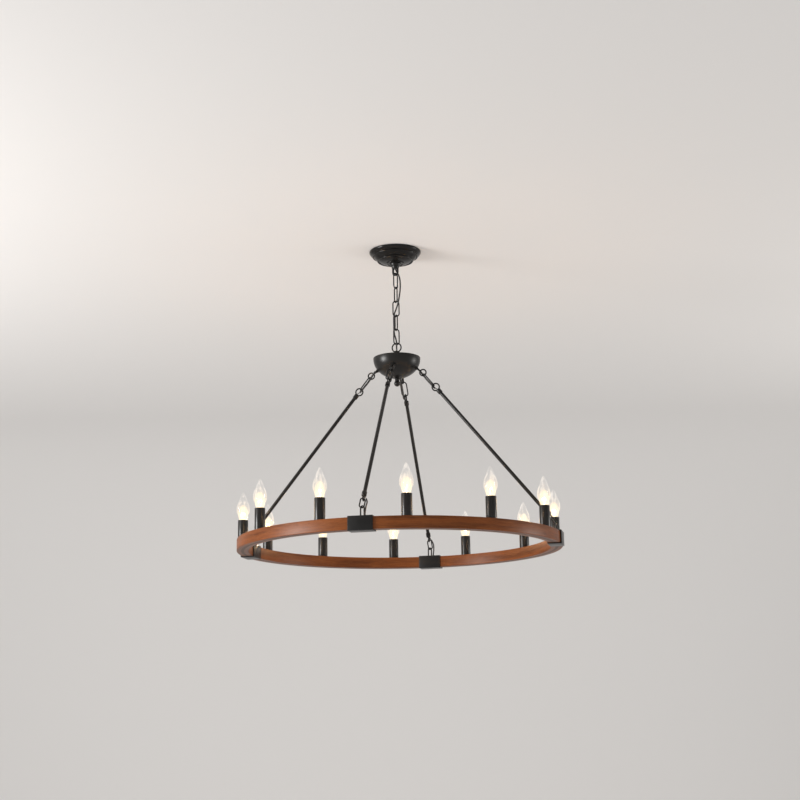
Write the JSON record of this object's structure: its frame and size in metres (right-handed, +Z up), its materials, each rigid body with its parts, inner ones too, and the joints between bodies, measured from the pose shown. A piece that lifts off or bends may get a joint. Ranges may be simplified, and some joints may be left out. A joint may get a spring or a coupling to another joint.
{
  "type": "wagon wheel chandelier",
  "caption": "Wagon wheel chandelier: a wooden rim in black clamps hangs on rods, a bowl and a chain from a ceiling canopy and carries candle lamps with flame-tip bulbs",
  "frame": {"origin": "the point on the ceiling plane at the middle of the mounting bar, on the axis that the lamp hangs on", "axes": "+Z up, square to the ceiling; +X from the axis over rod 1, along the mounting bar; +Y over rod 2"},
  "size_m": [0.9194, 0.9194, 0.8866],
  "materials": {
    "black_metal": "satin black powder coat",
    "sleeve_black": "satin black lacquer",
    "zinc_steel": "zinc plated",
    "earth_green": "green lacquer",
    "walnut": "red-brown walnut stain with a satin varnish",
    "cover_brown": "matt brown",
    "socket_black": "matt black",
    "cord_black": "woven black sleeve",
    "wire_black": "black insulation",
    "clear_glass": "clear"
  },
  "bodies": {
    "ceiling_mount": {"mounting_bar": "zinc_steel", "hanging_nipple": "zinc_steel", "nipple_locknuts": "zinc_steel", "ground_screw": "earth_green", "canopy_loop": "black_metal", "supply_cord": "cord_black"},
    "canopy_cover": {"canopy": "black_metal", "screw_collar": "black_metal"},
    "link_1": {"chain_link_1": "black_metal"},
    "link_2": {"chain_link_2": "black_metal"},
    "link_3": {"chain_link_3": "black_metal"},
    "link_4": {"chain_link_4": "black_metal"},
    "link_5": {"chain_link_5": "black_metal"},
    "bowl": {"bowl_shell": "black_metal", "bowl_cover": "black_metal", "bowl_loop": "black_metal", "centre_stem": "zinc_steel", "stem_nuts": "zinc_steel", "ball_finial": "black_metal", "eye_bolts": "black_metal", "eye_bolt_nuts": "zinc_steel"},
    "rod_1": {"upper_link_1": "black_metal", "hanging_rod_1": "black_metal", "rod_end_eyes_1": "black_metal"},
    "rod_2": {"upper_link_2": "black_metal", "hanging_rod_2": "black_metal", "rod_end_eyes_2": "black_metal"},
    "rod_3": {"upper_link_3": "black_metal", "hanging_rod_3": "black_metal", "rod_end_eyes_3": "black_metal"},
    "rod_4": {"upper_link_4": "black_metal", "hanging_rod_4": "black_metal", "rod_end_eyes_4": "black_metal"},
    "wheel": {"rim_segment_1": "walnut", "rim_segment_2": "walnut", "rim_segment_3": "walnut", "rim_segment_4": "walnut", "rim_clamps": "black_metal", "clamp_screws": "black_metal", "clamp_loops": "black_metal", "clamp_links": "black_metal", "groove_covers": "cover_brown", "rim_harness": "wire_black", "candle_sleeves": "sleeve_black", "lamp_sockets": "socket_black", "socket_nipples": "zinc_steel", "rod_wires": "wire_black"},
    "bulb_01_body": {"bulb_01": "clear_glass"},
    "bulb_02_body": {"bulb_02": "clear_glass"},
    "bulb_03_body": {"bulb_03": "clear_glass"},
    "bulb_04_body": {"bulb_04": "clear_glass"},
    "bulb_05_body": {"bulb_05": "clear_glass"},
    "bulb_06_body": {"bulb_06": "clear_glass"},
    "bulb_07_body": {"bulb_07": "clear_glass"},
    "bulb_08_body": {"bulb_08": "clear_glass"},
    "bulb_09_body": {"bulb_09": "clear_glass"},
    "bulb_10_body": {"bulb_10": "clear_glass"},
    "bulb_11_body": {"bulb_11": "clear_glass"},
    "bulb_12_body": {"bulb_12": "clear_glass"}
  },
  "joints": [
    {"name": "canopy_drop", "type": "slide", "parent": "ceiling_mount", "child": "canopy_cover", "axis": [0, 0, -1], "range_m": [0, 0.02], "deforming": ["supply_cord"]},
    {"name": "chain_hinge_1", "type": "hinge", "parent": "ceiling_mount", "child": "link_1", "pos_m": [0, 0, -0.0704], "axis": [0.9397, -0.342, 0], "range_deg": [-20, 20], "deforming": ["supply_cord"]},
    {"name": "chain_hinge_2", "type": "hinge", "parent": "link_1", "child": "link_2", "pos_m": [0, 0, -0.11185], "axis": [0.4226, 0.9063, 0], "range_deg": [-20, 20], "deforming": ["supply_cord"]},
    {"name": "chain_hinge_3", "type": "hinge", "parent": "link_2", "child": "link_3", "pos_m": [0, 0, -0.1545], "axis": [0.6225, -0.7826, 0], "range_deg": [-20, 20], "deforming": ["supply_cord"]},
    {"name": "chain_hinge_4", "type": "hinge", "parent": "link_3", "child": "link_4", "pos_m": [0, 0, -0.19715], "axis": [0.9397, 0.342, 0], "range_deg": [-20, 20], "deforming": ["supply_cord"]},
    {"name": "chain_hinge_5", "type": "hinge", "parent": "link_4", "child": "link_5", "pos_m": [0, 0, -0.2398], "axis": [0.5664, -0.8241, 0], "range_deg": [-20, 20], "deforming": ["supply_cord"]},
    {"name": "chain_hinge_6", "type": "hinge", "parent": "link_5", "child": "bowl", "pos_m": [0, 0, -0.28245], "axis": [0.7373, 0.6756, 0], "range_deg": [-20, 20], "deforming": ["supply_cord"]},
    {"name": "wheel_twist", "type": "hinge", "parent": "bowl", "child": "wheel", "pos_m": [0, 0, -0.8515], "axis": [0, 0, 1], "range_deg": [-5, 5], "stiffness_Nm_per_rad": 3.6, "deforming": ["rod_wires"]},
    {"name": "rod_1_swing", "type": "hinge", "parent": "bowl", "child": "rod_1", "pos_m": [0.08058, 0, -0.37706], "axis": [0, 0, 1], "range_deg": [-6.3, 6.3], "deforming": ["rod_wires"]},
    {"name": "rod_2_swing", "type": "hinge", "parent": "bowl", "child": "rod_2", "pos_m": [0, 0.08058, -0.37706], "axis": [0, 0, 1], "range_deg": [-6.3, 6.3], "deforming": ["rod_wires"]},
    {"name": "rod_3_swing", "type": "hinge", "parent": "bowl", "child": "rod_3", "pos_m": [-0.08058, 0, -0.37706], "axis": [0, 0, 1], "range_deg": [-6.3, 6.3], "deforming": ["rod_wires"]},
    {"name": "rod_4_swing", "type": "hinge", "parent": "bowl", "child": "rod_4", "pos_m": [0, -0.08058, -0.37706], "axis": [0, 0, 1], "range_deg": [-6.3, 6.3], "deforming": ["rod_wires"]},
    {"name": "bulb_01_turn", "type": "hinge", "parent": "wheel", "child": "bulb_01_body", "pos_m": [0.42559, 0.11404, -0.8055], "axis": [0, 0, 1], "continuous": true},
    {"name": "bulb_02_turn", "type": "hinge", "parent": "wheel", "child": "bulb_02_body", "pos_m": [0.31155, 0.31155, -0.8055], "axis": [0, 0, 1], "continuous": true},
    {"name": "bulb_03_turn", "type": "hinge", "parent": "wheel", "child": "bulb_03_body", "pos_m": [0.11404, 0.42559, -0.8055], "axis": [0, 0, 1], "continuous": true},
    {"name": "bulb_04_turn", "type": "hinge", "parent": "wheel", "child": "bulb_04_body", "pos_m": [-0.11404, 0.42559, -0.8055], "axis": [0, 0, 1], "continuous": true},
    {"name": "bulb_05_turn", "type": "hinge", "parent": "wheel", "child": "bulb_05_body", "pos_m": [-0.31155, 0.31155, -0.8055], "axis": [0, 0, 1], "continuous": true},
    {"name": "bulb_06_turn", "type": "hinge", "parent": "wheel", "child": "bulb_06_body", "pos_m": [-0.42559, 0.11404, -0.8055], "axis": [0, 0, 1], "continuous": true},
    {"name": "bulb_07_turn", "type": "hinge", "parent": "wheel", "child": "bulb_07_body", "pos_m": [-0.42559, -0.11404, -0.8055], "axis": [0, 0, 1], "continuous": true},
    {"name": "bulb_08_turn", "type": "hinge", "parent": "wheel", "child": "bulb_08_body", "pos_m": [-0.31155, -0.31155, -0.8055], "axis": [0, 0, 1], "continuous": true},
    {"name": "bulb_09_turn", "type": "hinge", "parent": "wheel", "child": "bulb_09_body", "pos_m": [-0.11404, -0.42559, -0.8055], "axis": [0, 0, 1], "continuous": true},
    {"name": "bulb_10_turn", "type": "hinge", "parent": "wheel", "child": "bulb_10_body", "pos_m": [0.11404, -0.42559, -0.8055], "axis": [0, 0, 1], "continuous": true},
    {"name": "bulb_11_turn", "type": "hinge", "parent": "wheel", "child": "bulb_11_body", "pos_m": [0.31155, -0.31155, -0.8055], "axis": [0, 0, 1], "continuous": true},
    {"name": "bulb_12_turn", "type": "hinge", "parent": "wheel", "child": "bulb_12_body", "pos_m": [0.42559, -0.11404, -0.8055], "axis": [0, 0, 1], "continuous": true}
  ],
  "couplings": [
    {"joint": "rod_1_swing", "follows": "wheel_twist", "ratio": 1.238},
    {"joint": "rod_2_swing", "follows": "wheel_twist", "ratio": 1.238},
    {"joint": "rod_3_swing", "follows": "wheel_twist", "ratio": 1.238},
    {"joint": "rod_4_swing", "follows": "wheel_twist", "ratio": 1.238}
  ]
}
